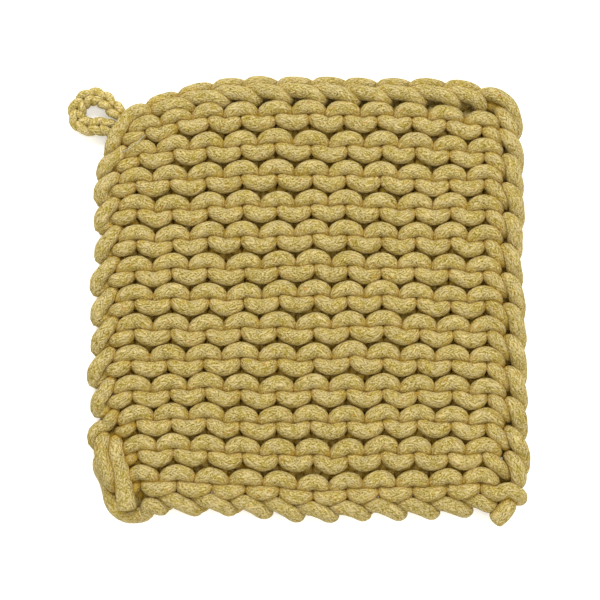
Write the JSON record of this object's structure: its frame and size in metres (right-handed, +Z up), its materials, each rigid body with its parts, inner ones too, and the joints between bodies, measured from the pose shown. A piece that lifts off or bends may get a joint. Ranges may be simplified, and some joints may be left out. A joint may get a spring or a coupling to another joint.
{
  "type": "knitted trivet",
  "caption": "Thick square knitted cotton trivet with ridged faces, chain edges, rounded corners and a small hanging loop at one corner.",
  "frame": {"origin": "on the surface that the trivet rests on, under the middle of the whole object's box", "axes": "+X across the knit's width, to the right with the loop at the upper left; +Y along its length, towards the bound-off edge and the loop; +Z up, out of the front face"},
  "size_m": [0.2142, 0.2102, 0.0175],
  "materials": {
    "knit_cord": "matte soft braided cotton, mustard khaki",
    "loop_cord": "matte thin braided cotton, mustard khaki",
    "tail_cord": "matte soft braided cotton, mustard khaki"
  },
  "bodies": {
    "root": {"knit_panel": "knit_cord", "hanging_loop": "loop_cord", "tail_left": "tail_cord", "tail_right": "tail_cord"}
  },
  "joints": []
}
